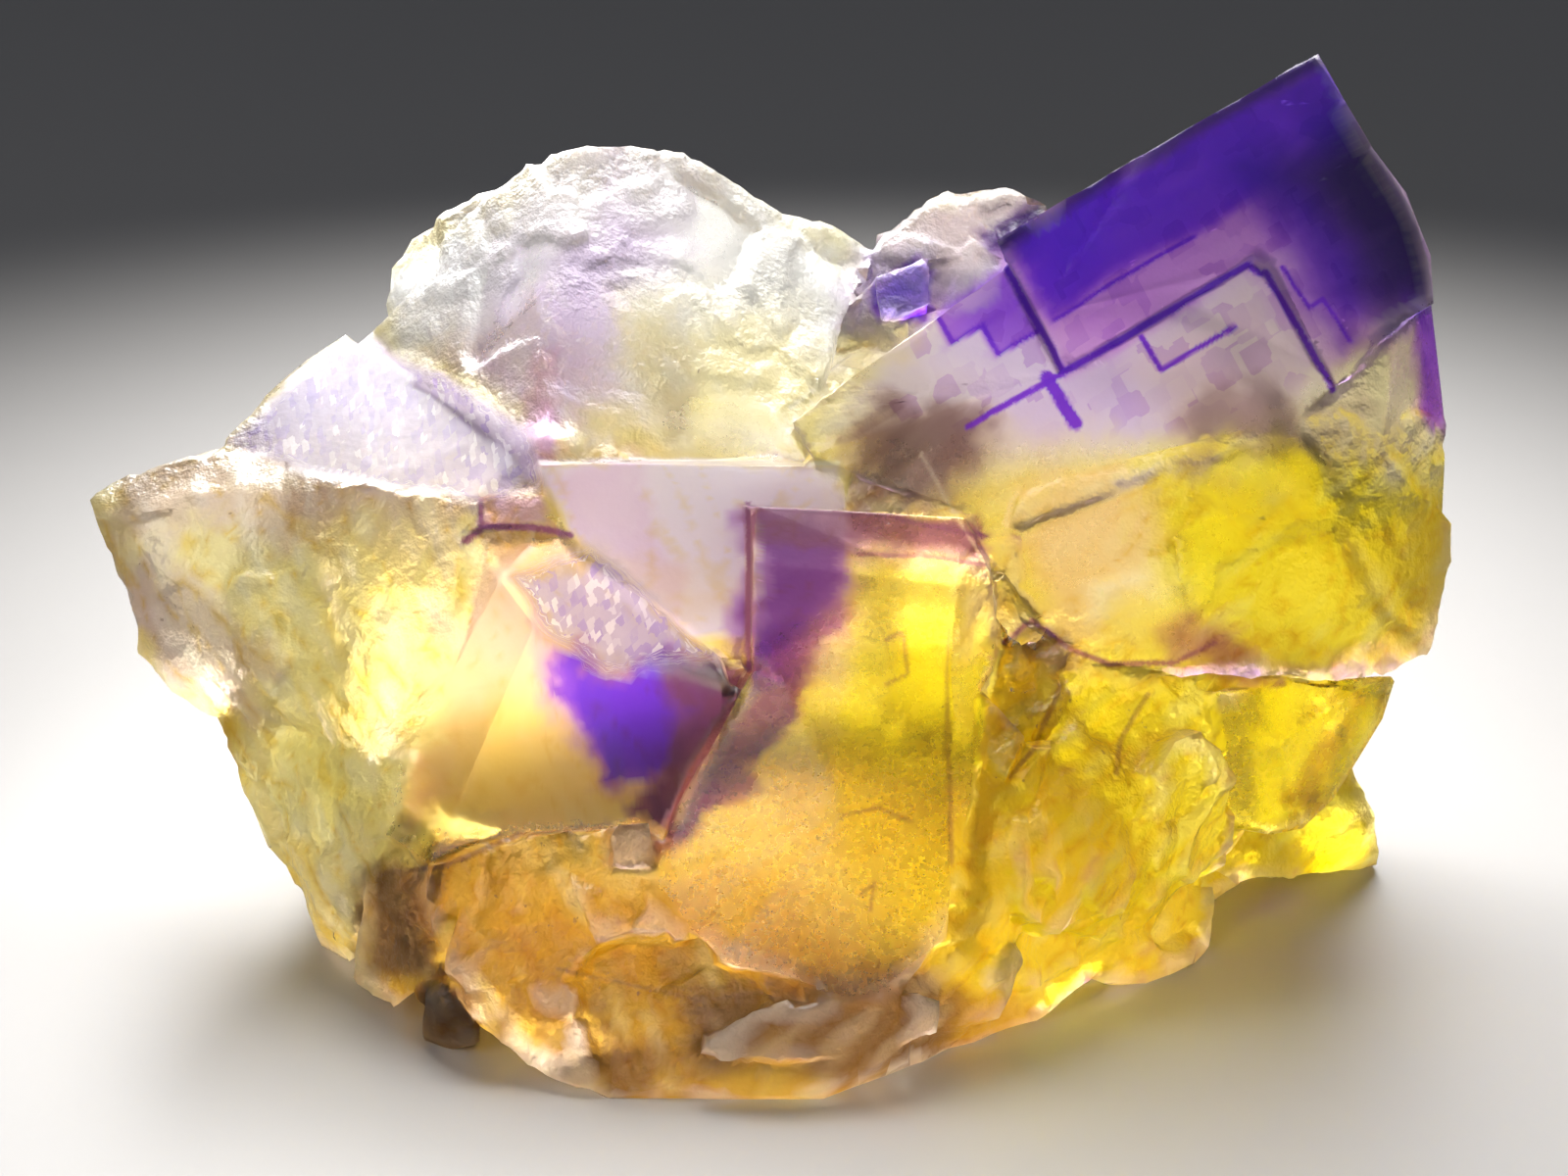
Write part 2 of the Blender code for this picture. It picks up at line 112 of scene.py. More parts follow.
ZONES = [
    # name of what it colours, colour, strength, kind of shape, wander, its measures
    ("whole lower half", YELLOW, 1.0, "blob", 1, -8, -12, 34, 17, 0, 0.4),
    ("bottom", HONEY, 1.0, "inside", 1,
     [(-25, -14), (3, -17), (14, -19), (10, -27), (-25, -27)], 3.0),
    ("right base", RICH_YELLOW, 1.0, "inside", 1,
     [(5, -5), (31, -4), (31, -15), (18, -21), (6, -21)], 2.0),
    # the pale peak and its left lobe are whitened as painted glow, for the lamp shining through
    # them from behind
    ("peak", WHITE, 0.95, "inside", 1,
     [(-21, 13), (-11, 24), (-5, 23), (6, 16), (-1, 7), (-12, 8)], 1.5),
    ("left lobe", WHITE, 1.0, "inside", 1, [(-21, 14), (-17, 19), (-12, 19), (-14, 13)], 1.0),
    ("peak, left face", LILAC, 0.7, "inside", 1, [(-17, 11), (-9, 21), (-6, 18), (-10, 8)], 1.8),
    ("peak, right face", PALE_YELLOW, 0.8, "inside", 1, [(-8, 14), (1, 13), (1, 7), (-8, 7)], 1.5),
    ("peak step", PINK, 0.9, "inside", 0.3,
     [(-12.6, 12.5), (-11.6, 12.5), (-11.2, 6.5), (-13.2, 6.5)], 0.3),
    ("left wing", PALE_YELLOW, 0.9, "inside", 1,
     [(-35, 5), (-24, 6), (-15.5, 4), (-16, -3), (-22, -20), (-26, -13)], 2.0),
    ("left wing, middle", LEMON, 0.8, "inside", 1,
     [(-25, 2), (-17, 1), (-18, -10), (-21, -17), (-25, -8)], 2.0),
    ("wing's top", ROSE, 0.8, "inside", 0.8,
     [(-35, 6), (-24, 7), (-16, 5), (-16, 3), (-26, 3), (-34, 2)], 1.0),
    ("wing's edge", ROSE, 0.9, "inside", 1, [(-35, 1.5), (-31.5, 2.5), (-26, -6), (-31, -6)], 0.9),
    ("shelf", FROST, 1.0, "inside", 0.2, SHELF_OUTLINE, 0.4),
    ("shelf step", PINK, 0.8, "inside", 0.1,
     [(-15.6, 4.8), (-12.3, 4.8), (-12.2, 3.3), (-15.6, 3.2)], 0.2),
    ("middle crystal", ICE, 1.0, "inside", 0.2, MIDDLE_OUTLINE, 0.3),
    ("middle crystal, left", PINK, 0.35, "inside", 0.8,
     [(-12, 6.2), (-8, 6.2), (-4.5, -2), (-11, 3)], 0.8),
    ("middle crystal, foot", PEACH, 0.3, "inside", 0.6,
     [(-11, 2.5), (-2, 0.5), (-4.5, -2.4), (-6, -2.4)], 0.7),
    ("left front wall", PEACH, 0.95, "inside", 1,
     [(-16, 2.5), (-12.5, 0), (-12, -7), (-19, -12), (-17.5, -4)], 1.0),
    ("ledge", BROWN, 0.5, "inside", 0.2,
     [(-15.7, 3.0), (-12, 3.3), (-3.1, -3.8), (-9.5, -4.1), (-12.8, -2.5)], 0.3),
    ("ledge top", FROST, 1.0, "inside", 0.5,
     [(-14, 0), (-10, 1.8), (-3.3, -3.8), (-8, -3.6), (-12.8, -2)], 0.6),
    ("below the wall", GOLD, 0.8, "blob", 1, -11.5, -9.0, 6.0, 3.6, 0, 0.5),
    ("wall, mauve", MAUVE, 1.0, "inside", 0.8,
     [(-12.8, -3.0), (-3.2, -4.4), (-4.5, -7.5), (-8.5, -10.0), (-12, -7.5)], 1.0),
    ("wall", VIOLET, 0.95, "inside", 0.8,
     [(-11.6, -3.5), (-9.9, -3.0), (-5.2, -4.0), (-5.4, -7.2), (-8.2, -9.1), (-9.3, -9.6),
      (-10.6, -7.4)], 0.7),
    # painted shade: a near-black plum wedge in the corner below the violet block, where its shadow
    # falls
    ("wall's corner", DARK_PLUM, 1.0, "inside", 0.8,
     [(-5.6, -4.2), (0, -4.2), (0, -6), (-6, -13), (-7, -11)], 0.7),
    ("violet block", PURPLE, 1.0, "inside", 0.6,
     [(-1.8, 3.6), (4, 2.5), (3, -2), (-0.5, -4.7), (-1.8, -4.7)], 0.9),
    ("violet block, top", PLUM, 0.8, "inside", 0.2,
     [(-1.8, 4.3), (3, 3.9), (9.5, 3.6), (10.4, 1.5), (4, 1.7), (-1.8, 2.5)], 0.3),
    ("violet block, rim", PINK, 0.7, "inside", 0.2,
     [(3, 2.4), (10.4, 1.8), (10.5, 0.5), (4.0, 1.0)], 0.3),
    ("front crystal, top", PEACH, 0.85, "inside", 0.8,
     [(4, 0.5), (10.5, 0.5), (8.4, -5), (1, -5)], 1.2),
    ("front crystal", RICH_YELLOW, 0.9, "blob", 0.8, 5.4, -7, 3.0, 7, -8, 0.4),
    ("shadow of the block", MAROON, 0.8, "inside", 0.5,
     [(3.6, -0.6), (0.8, -5), (-5.8, -11.4), (-6.0, -9), (-1.6, -4)], 0.7),
    ("pale cubes behind", LILAC, 0.6, "inside", 0.6,
     [(3, 13.5), (4, 19), (12, 21.5), (15, 20), (9, 14.5)], 0.8),
    ("great crystal", ICE, 0.95, "inside", 0.8, GREAT_OUTLINE, 1.2),
    ("great crystal, heart", BLUSH, 0.95, "grown", 0.5, 3.0, 11.0, 8.5, 15.0, 1.5),
    ("great crystal, middle", LILAC, 0.2, "inside", 1,
     [(10, 13), (24, 19), (27, 12), (12, 6)], 2.0),
    ("great crystal, foot", PEACH, 0.8, "inside", 1, [(11, 4), (20, 6), (20, 1), (13, -3)], 1.5),
    ("great crystal, low", RICH_YELLOW, 0.9, "inside", 1,
     [(20, 5.5), (28, 6.5), (34, 4), (33, -4), (24, -4), (19, 1)], 1.8),
    ("growth band 2", ORCHID, 1.0, "grown", 0.2, -0.2, 15.0, 0.0, 7.9, 0.35),
    ("growth band 2, right", ORCHID, 0.7, "grown", 0.3, 11.0, 15.5, 7.0, 14.0, 0.8),
    ("growth band 1", BRIGHT_VIOLET, 0.9, "grown", 0.2, 0.5, 19.0, 0.4, 4.7, 0.5),
    ("growth band 1, right", VIOLET, 0.9, "grown", 0.4, 13.0, 19.5, 3.5, 13.0, 1.6),
    ("right side", INDIGO, 0.9, "grown", 0.3, 15.5, 20.0, 5.0, 13.5, 1.6),
    ("upper edge", INDIGO, 0.75, "grown", 0.1, -0.4, 19.5, -0.6, 0.6, 0.35),
    ("stair 1", BRIGHT_VIOLET, 0.45, "grown", 0.1, -4.5, -0.4, 1.6, 3.4, 0.3),
    ("stair 2", BRIGHT_VIOLET, 0.45, "grown", 0.1, -2.8, -0.4, 3.2, 5.1, 0.3),
    ("right rim", BRIGHT_VIOLET, 0.7, "inside", 0.4,
     [(32, 15), (34, 14), (34.5, 6.5), (32.8, 8)], 0.5),
    ("smoke, left", SMOKE, 0.9, "blob", 1.4, 7.5, 6.5, 2.6, 2.2, 20, 0.6),
    ("smoke, right", SMOKE, 0.4, "blob", 1.4, 24.5, 8.0, 5.0, 1.8, -8, 0.6),
    ("lilac veil", LILAC, 0.6, "blob", 1.0, 14.5, 8.6, 5.0, 2.2, 25, 0.6),
    ("pale corner", CREAM, 0.5, "blob", 1.2, 18.5, 1.0, 3.6, 1.8, 15, 0.6),
    ("seam, left", SMOKE, 0.45, "blob", 0.8, 12.6, -2.6, 2.4, 0.9, -30, 0.6),
    ("seam, right", SMOKE, 0.35, "blob", 0.8, 27.5, -3.9, 3.4, 0.6, 10, 0.6),
    ("violet patch", PLUM, 0.5, "blob", 0.6, 22.3, -3.4, 2.4, 1.3, -20, 0.5),
    ("cube behind", BRIGHT_VIOLET, 0.95, "inside", 0.1,
     [(4.6, 15.2), (6.8, 16.9), (7.4, 16.0), (7.2, 13.6), (4.6, 14.0)], 0.3),
    ("left lump", GREY_BROWN, 0.8, "inside", 0.4,
     [(-21.5, -14.5), (-17.5, -15), (-17.5, -20), (-21.5, -20)], 0.5),
    ("grey cube", SMOKE, 0.6, "inside", 0.1,
     [(-8.9, -12.0), (-6.4, -12.2), (-6.6, -14.3), (-9.0, -14.3)], 0.3),
    ("grey slab", GREY_BROWN, 0.85, "inside", 0.8,
     [(-5, -20.5), (8, -19.5), (8, -24.5), (-5, -25)], 1.2),
    ("low cube", SMOKE, 0.6, "inside", 0.1,
     [(-18.5, -20.4), (-15.5, -20.4), (-15.5, -23.5), (-18.5, -23.5)], 0.3),
    ("bottom clouds", GREY_BROWN, 0.5, "blob", 1.5, -9.5, -23, 2.5, 2.0, 0, 0.6),
]


DIRT = [
    # patches of brown specks: middle, size across and up, turn, softness
    (-8.0, -10.5, 3.5, 1.6, 20, 0.5),
    (-13.5, -4.5, 1.6, 3.0, -10, 0.5),
    (-31.0, -1.5, 1.0, 3.5, 35, 0.5),
    (-6.5, -0.3, 3.5, 0.7, -35, 0.5),
    (14.0, -6.5, 1.5, 3.0, -30, 0.5),
    (18.5, -6.8, 1.5, 2.5, -20, 0.5),
    (-12.0, -16.5, 3.0, 1.2, -20, 0.5),
]


def grown_place(s, t):
    """A place s along the great crystal's upper edge and t below it, on the picture plane."""
    return tuple(GREAT_CORNER + GREAT_ALONG * s + GREAT_DOWN * t)


GROWTH_LINES = [
    # half width, and places along the great crystal's upper edge and below it
    (0.13, [(-6.0, 7.6), (10.6, 7.6), (10.9, 8.3), (11.2, 8.4), (11.1, 15.2)]),
    (0.13, [(-0.2, 0.0), (-0.3, 7.6)]),
    (0.10, [(4.0, 8.0), (4.1, 9.9), (8.4, 10.0)]),
    (0.30, [(-1.15, 7.4), (-1.1, 10.2)]),
    (0.10, [(-4.4, 1.7), (-4.4, 3.4), (-2.7, 3.4), (-2.7, 5.1), (-0.4, 5.1)]),
    (0.08, [(12.0, 8.6), (12.2, 11.0), (13.0, 11.0), (13.1, 13.5)]),
    (0.07, [(0.6, 5.0), (9.0, 4.9)]),
]

STROKES = [
    # colour, strength, half width, places on the picture plane
    *((BRIGHT_VIOLET, 0.9, width, [grown_place(*place) for place in places])
      for width, places in GROWTH_LINES),
    (CREAM, 0.6, 0.06, [(7.0, 6.8), (10.7, 0.5)]),
    # painted highlights: white lines along the great crystal's upper edges
    (WHITE, 0.6, 0.10, [(0.3, 9.2), (3.6, 11.6), (7.9, 14.4), (10.9, 17.6), (12.0, 18.7)]),
    (WHITE, 0.35, 0.07, [(14.4, 20.0), (19.0, 22.7), (24.0, 25.4), (26.8, 27.0)]),
    (PLUM, 0.8, 0.14, [(-16.3, 2.4), (-15.3, 3.2), (-13.0, 3.1), (-10.9, 2.7)]),
    (PLUM, 0.8, 0.10, [(-15.5, 4.4), (-15.5, 3.2)]),
    (PLUM, 0.8, 0.12, [(-1.8, 4.25), (-1.8, -4.0), (-0.3, -4.7)]),
    (PLUM, 0.7, 0.10, [(-1.8, 4.2), (1.0, 3.9), (5.0, 3.7), (10.4, 2.6)]),
    (PLUM, 0.5, 0.08, [(3.8, 1.7), (7.0, 1.6), (10.2, 1.2)]),
    # painted highlight: a white line along the middle crystal's top edge
    (WHITE, 0.7, 0.10, [(-12.4, 6.5), (-6.0, 6.45), (2.8, 6.35)]),
    (BROWN, 0.6, 0.07, [(5.2, -2.6), (6.0, -2.2), (6.3, -4.4), (5.2, -4.9)]),
    (BROWN, 0.5, 0.06, [(3.0, -11.6), (4.8, -11.2), (6.5, -11.9)]),
    (BROWN, 0.5, 0.06, [(3.9, -15.6), (4.6, -15.0), (4.4, -16.4)]),
    (BROWN, 0.6, 0.10, [(-20.6, -14.6), (-17.6, -14.3), (-13.5, -12.6), (-9.2, -12.2)]),
    (BROWN, 0.45, 0.08, [(-11.6, -19.4), (-8.0, -20.2), (-4.2, -21.0), (-1.2, -20.6)]),
    (BROWN, 0.45, 0.09, [(8.4, -2.2), (8.3, -8.0), (8.6, -14.0)]),
    (BROWN, 0.5, 0.10, [(14.0, -5.0), (12.8, -8.0), (11.6, -9.6)]),
    (BROWN, 0.5, 0.10, [(18.6, -5.4), (17.2, -7.6), (17.0, -9.4)]),
    (PLUM, 0.6, 0.10, [(11.2, -2.8), (12.6, -1.6), (14.4, -3.0), (16.6, -3.9), (20.0, -3.8),
                       (22.0, -2.8)]),
]


def smooth(values, low, high):
    """0 at low, 1 at high and smooth between them, also where low is above high."""
    share = np.clip((values - low) / (high - low), 0, 1)
    return share * share * (3 - 2 * share)


def inside(u, v, corners, soft):
    """1 on the inner side of every edge of an outline given clockwise, 0 elsewhere."""
    depth = np.full(len(u), np.inf)
    for (u0, v0), (u1, v1) in zip(corners, corners[1:] + corners[:1]):
        inwards = Vector((v1 - v0, u0 - u1)).normalized()
        depth = np.minimum(depth, (u - u0) * inwards.x + (v - v0) * inwards.y)
    return smooth(depth, -soft, soft)


def blob(u, v, middle_u, middle_v, across, up, turn, soft):
    """1 inside an ellipse turned anticlockwise, 0 outside."""
    c, s = cos(radians(turn)), sin(radians(turn))
    u, v = u - middle_u, v - middle_v
    return smooth(np.hypot((c * u + s * v) / across, (c * v - s * u) / up), 1 + soft, 1 - soft)


def grown(u, v, s0, s1, t0, t1, soft):
    """1 inside a box along the great crystal's faces, measured from its upper left corner."""
    u, v = u - GREAT_CORNER.x, v - GREAT_CORNER.y
    s = u * GREAT_ALONG.x + v * GREAT_ALONG.y
    t = u * GREAT_DOWN.x + v * GREAT_DOWN.y
    depth = np.minimum(np.minimum(s - s0, s1 - s), np.minimum(t - t0, t1 - t))
    return smooth(depth, -soft, soft)


SHAPES = {"inside": inside, "blob": blob, "grown": grown}


def points(mesh):
    places = np.empty(len(mesh.vertices) * 3)
    mesh.vertices.foreach_get("co", places)
    return places.reshape(-1, 3)


def on_picture(places):
    """The picture plane's u and v of places in metres, and how far they are in front of it."""
    places = places / MM - np.array(PICTURE_CENTRE)
    near = places @ np.array(NEARWARDS)
    shrink = 1 - near / EYE_DISTANCE
    return places @ np.array(RIGHTWARDS) / shrink, places @ np.array(UPWARDS) / shrink, near


# Surface

# longest edges on the front, along the fine lines, on the rear and on the flat cut underside
FRONT_EDGE = 0.64 * MM
LINE_EDGE = 0.22 * MM
REAR_EDGE = 1.5 * MM
UNDER_EDGE = 4 * MM
FRONT_FACING = -0.3
ON_TABLE = 0.01 * MM
SPLIT_ROUNDS = 8
LINE_DEPTH = -6.0  # the fine lines are drawn in front of this, in millimetres

FLAT_ANGLE = radians(4)
FLAT_AREA = 9 * MM * MM
SHARP_ANGLE = radians(28)
RELIEF = 0.8  # how strong flakes are
PEAK_MIDDLE = (-8, 14, 11, 9, 0, 0.4)  # a blob where they are half as strong
WANDER_SEED = 3  # without one the zones' edges stray differently in each run
STROKE_LIMIT = -2  # strokes left of this lean the other way


def flat_regions(bm):
    """Marks the points of faces that belong to a broad flat face, as a crystal's face does."""
    flat = bm.verts.layers.float.new("flat")
    seen = set()
    for start in bm.faces:
        if start in seen:
            continue
        region, queue = [], [start]
        seen.add(start)
        while queue:
            face = queue.pop()
            region.append(face)
            for edge in face.edges:
                for other in edge.link_faces:
                    if other not in seen and other.normal.angle(start.normal, 0) < FLAT_ANGLE:
                        seen.add(other)
                        queue.append(other)
        if sum(face.calc_area() for face in region) > FLAT_AREA:
            for face in region:
                for vert in face.verts:
                    vert[flat] = 1.0
    return flat


def strokes_near(u, v, strokes):
    """How far places on the picture plane are from the nearest line, less its half width."""
    nearest = np.full(len(u), np.inf)
    for _, _, width, places in strokes:
        for (u0, v0), (u1, v1) in zip(places, places[1:]):
            du, dv = u1 - u0, v1 - v0
            along = np.clip(((u - u0) * du + (v - v0) * dv) / (du ** 2 + dv ** 2), 0, 1)
            apart = np.hypot(u - u0 - along * du, v - v0 - along * dv)
            nearest = np.minimum(nearest, apart - width)
    return nearest


def long_edges(bm):
    """Edges too long for where they lie. The front is finer than the rear, and fine lines most."""
    bm.normal_update()
    bm.verts.index_update()
    places = np.array([vert.co[:] for vert in bm.verts])
    normals = np.array([vert.normal[:] for vert in bm.verts])
    ends = np.array([(edge.verts[0].index, edge.verts[1].index) for edge in bm.edges])
    length = np.linalg.norm(places[ends[:, 0]] - places[ends[:, 1]], axis=1)
    middle = places[ends].mean(axis=1)
    normal = normals[ends].mean(axis=1)
    u, v, near = on_picture(middle)
    limit = np.where(normal @ np.array(NEARWARDS) > FRONT_FACING, FRONT_EDGE, REAR_EDGE)
    lined = (strokes_near(u, v, STROKES) < 0.15 + length / MM / 2) & (near > LINE_DEPTH)
    limit = np.where(lined, LINE_EDGE, limit)
    limit = np.where(places[ends][:, :, 2].max(axis=1) < ON_TABLE, UNDER_EDGE, limit)
    bm.edges.ensure_lookup_table()
    return [bm.edges[index] for index in np.nonzero(length > limit)[0]]


def refine(bm):
    """Splits long edges until the mesh is fine enough to carry flakes and lines."""
    for _ in range(SPLIT_ROUNDS):
        split = long_edges(bm)
        if not split:
            break
        bmesh.ops.subdivide_edges(bm, edges=split, cuts=1)
        bmesh.ops.triangulate(bm, faces=[face for face in bm.faces if len(face.verts) > 3])


def feathers(place):
    """Strokes drawn out to the upper right, and to the upper left on the left side."""
    place = place - PICTURE_CENTRE
    u, v, near = place.dot(RIGHTWARDS), place.dot(UPWARDS), place.dot(NEARWARDS)
    turn = radians(38 if u > STROKE_LIMIT else 118)
    along, over = u * cos(turn) + v * sin(turn), v * cos(turn) - u * sin(turn)
    stroke = noise.noise(Vector((along * 0.2, over * 0.8, near * 0.4)))
    return abs(stroke) - 0.25


def flakes(place, normal):
    """How far flakes, tilted plates and grain move a place of a broken face, in millimetres."""
    moved = 0.22 * feathers(place)
    for size, step, tilting in ((2.2, 0.10, 0.10), (0.9, 0.05, 0.10)):
        centre = noise.voronoi(place / size)[1][0]
        tilt = noise.cell_vector(centre * size * 9) * 2 - Vector((1, 1, 1))
        tilt -= normal * tilt.dot(normal)
        moved += step * noise.cell(centre * size * 9) + tilting * tilt.dot(place - centre * size)
    moved += 0.05 * noise.noise(place * 2.3)
    return normal * moved


def chip(bm, flat):
    """Breaks all faces but the flat ones into flakes, fading out towards the table."""
    bm.normal_update()
    u, v, _ = on_picture(np.array([vert.co[:] for vert in bm.verts]))
    relief = RELIEF * (1 - 0.5 * blob(u, v, *PEAK_MIDDLE))
    places = []
    for vert, most in zip(bm.verts, relief.tolist()):
        share = (1 - vert[flat]) * min(1.0, max(0.0, vert.co.z / MM)) * most
        moved = flakes(vert.co / MM, vert.normal) * share if share > 0 else Vector((0, 0, 0))
        places.append(vert.co + moved * MM)
    for vert, place in zip(bm.verts, places):
        vert.co = place


def ridges(mesh):
    """How far each point stands out from its neighbours, for painted glow on edges and dirty
    hollows.
    """
    co = points(mesh)
    normals = np.empty(len(co) * 3)
    mesh.vertices.foreach_get("normal", normals)
    normals = normals.reshape(-1, 3)
    ends = np.empty(len(mesh.edges) * 2, np.int64)
    mesh.edges.foreach_get("vertices", ends)
    ends = ends.reshape(-1, 2)
    links = np.bincount(ends.ravel(), minlength=len(co))[:, None]

    def spread(values):
        total = np.zeros_like(values)
        np.add.at(total, ends[:, 0], values[ends[:, 1]])
        np.add.at(total, ends[:, 1], values[ends[:, 0]])
        return total / links

    around = co
    for _ in range(6):
        around = spread(around)
    out = ((co - around) * normals).sum(1, keepdims=True) / MM
    return np.clip(spread(spread(out)) * 3, -1, 1).ravel()


def crystal_body(node):
    """A finer copy of the cluster's solid, with its broken faces, colours and sharp edges."""
    bm = bmesh.new()
    bm.from_mesh(node.data)
    bmesh.ops.remove_doubles(bm, verts=bm.verts, dist=1e-6)
    bm.normal_update()
    flat = flat_regions(bm)
    refine(bm)
    chip(bm, flat)
    mesh = bpy.data.meshes.new("fluorite")
    bm.to_mesh(mesh)
    bm.free()
    paint(mesh, ridges(mesh))
    mesh.shade_smooth()
    mesh.set_sharp_from_angle(angle=SHARP_ANGLE)
    piece = bpy.data.objects.new("fluorite", mesh)
    bpy.context.scene.collection.objects.link(piece)
    return piece


# Shader expressions

class Value:
    """A socket in a material, on which sums are written as Python expressions."""

    def __init__(self, shading, socket):
        self.shading = shading
        self.socket = socket

    def math(self, operation, first, second):
        return self.shading.node("ShaderNodeMath", {"operation": operation}, {0: first, 1: second})

    def __add__(self, other):
        return self.math("ADD", self, other)

    def __sub__(self, other):
        return self.math("SUBTRACT", self, other)

    def __mul__(self, other):
        return self.math("MULTIPLY", self, other)

    def __rsub__(self, other):
        return self.math("SUBTRACT", other, self)

    __radd__ = __add__
    __rmul__ = __mul__

    def most(self, other):
        return self.math("MAXIMUM", self, other)

    def rise(self, low, high):
        """0 below low, 1 above high and smooth between them. Falls where low is above high."""
        bottom, top, first, last = (low, high, 0.0, 1.0) if low < high else (high, low, 1.0, 0.0)
        settings = {"interpolation_type": "SMOOTHSTEP"}
        inputs = {"From Min": bottom, "From Max": top, "To Min": first, "To Max": last}
        return self.shading.node("ShaderNodeMapRange", settings, {"Value": self, **inputs})


class Shading:
    """A material's nodes."""

    def __init__(self, name):
        self.material = bpy.data.materials.new(name)
        self.material.use_nodes = True
        self.tree = self.material.node_tree
        self.surface = self.tree.nodes["Principled BSDF"]

    def node(self, kind, settings, inputs, output=0):
        """A new node's output. The node gets its settings, then its sockets' values or links."""
        node = self.tree.nodes.new(kind)
        for name, setting in settings.items():
            setattr(node, name, setting)
        for socket, value in inputs.items():
            self.feed(node.inputs[socket], value)
        return Value(self, node.outputs[output])

    def feed(self, socket, value):
        if isinstance(value, Value):
            self.tree.links.new(value.socket, socket)
        else:
            socket.default_value = value

    def finish(self, **inputs):
        for name, value in inputs.items():
            self.feed(self.surface.inputs[name.replace("_", " ")], value)
        return self.material

    def mix(self, factor, first, second, blend="MIX"):
        settings = {"data_type": "RGBA", "blend_type": blend}
        return self.node("ShaderNodeMix", settings, {0: factor, 6: first, 7: second}, 2)

    def vector(self, operation, first, second, output=0):
        inputs = {0: first, 1: tuple(second)}
        return self.node("ShaderNodeVectorMath", {"operation": operation}, inputs, output)

    def dot(self, vector, direction):
        return self.vector("DOT_PRODUCT", vector, direction, "Value")

    def combine(self, x, y, z):
        return self.node("ShaderNodeCombineXYZ", {}, {0: x, 1: y, 2: z})

    def noise(self, vector, scale, detail, rough):
        """Noise round 0, mostly between -0.25 and 0.25."""
        inputs = {"Vector": vector, "Scale": scale, "Detail": detail, "Roughness": rough}
        return self.node("ShaderNodeTexNoise", {}, inputs) - 0.5

    def square_cells(self, vector, scale, randomness):
        """A random colour for each of a pattern of squarish cells."""
        inputs = {"Vector": vector, "Scale": scale, "Randomness": randomness}
        return self.node("ShaderNodeTexVoronoi", {"distance": "CHEBYCHEV"}, inputs, "Color")

    def attribute(self, name):
        return self.node("ShaderNodeAttribute", {"attribute_name": name}, {}, "Fac")


def wander(places):
    """How far zones' edges stray at each place, in millimetres, and the feathers there."""
    noise.seed_set(WANDER_SEED)
    strays, strokes = [], []
    for place in places / MM:
        place = Vector(place)
        strays.append(noise.noise_vector(place * 0.22) + noise.noise_vector(place * 0.6) * 0.5
                      + noise.noise_vector(place * 1.5) * 0.25)
        strokes.append(feathers(place))
    return np.array(strays) * 2.2, np.array(strokes)


def mixed(colour, tone, mask):
    """Mixes as stains in a clear body do, so that a deep tone stays deep."""
    mask = mask[:, None]
    return colour ** (1 - mask) * np.array(tone) ** mask


def painted_glow_cover(colour, tone, mask):
    """Covers with a pale tone, as the painted glow on edges does."""
    mask = mask[:, None]
    return colour * (1 - mask) + np.array(tone) * mask


def darker(colour, tone, mask):
    return colour * np.array(tone) ** mask[:, None]


def dirt_patches(u, v, near, stray, flat):
    """How dirty each point is: beside brown seams, in the patches and here and there on breaks."""
    seams = strokes_near(u, v, [stroke for stroke in STROKES if stroke[0] == BROWN])
    patches = np.maximum.reduce([blob(u, v, *patch) for patch in DIRT])
    dirt = np.maximum(smooth(seams, 1.4, 0.2), patches)
    dirt = np.maximum(dirt, smooth(stray[:, 2], 0.3, 1.6) * 0.6)
    return dirt * smooth(near, -16, -10) * (1 - flat * 0.6)


def zone_colours(u, v, near, stray, feather, flat, ridge, dirt):
    colour = mixed(np.tile(np.array(YELLOW), (len(u), 1)), PALE_YELLOW, smooth(v, -10, 10))
    for _, tone, strength, shape, straying, *measures in ZONES:
        mask = SHAPES[shape](u + stray[:, 0] * straying, v + stray[:, 1] * straying, *measures)
        colour = mixed(colour, tone, mask * strength)

    # pale feathers and honey veins, both weak on crystal faces, dirty hollows and painted glow on
    # ridges
    rugged = 1 - flat
    colour = colour ** (1 - smooth(feather, 0.02, 0.25) * (0.1 + rugged * 0.35))[:, None]
    veins = smooth(feather, -0.16, -0.25) * smooth(v, 9, 4)
    colour = darker(colour, HONEY, veins * (0.1 + rugged * 0.2))
    colour = mixed(colour, BROWN, smooth(ridge, -0.30, -0.9) * dirt * 0.6)
    # painted glow: cream on the ridges, for thin edges lit through from behind
    colour = painted_glow_cover(colour, CREAM, smooth(ridge, 0.20, 0.75) * 0.35)

    front = smooth(near, LINE_DEPTH, LINE_DEPTH + 1)
    for stroke in STROKES:
        apart = strokes_near(u + stray[:, 0] * 0.05, v + stray[:, 1] * 0.05, [stroke])
        colour = mixed(colour, stroke[0], smooth(apart, 0.1, -0.04) * front * stroke[1])
    return colour


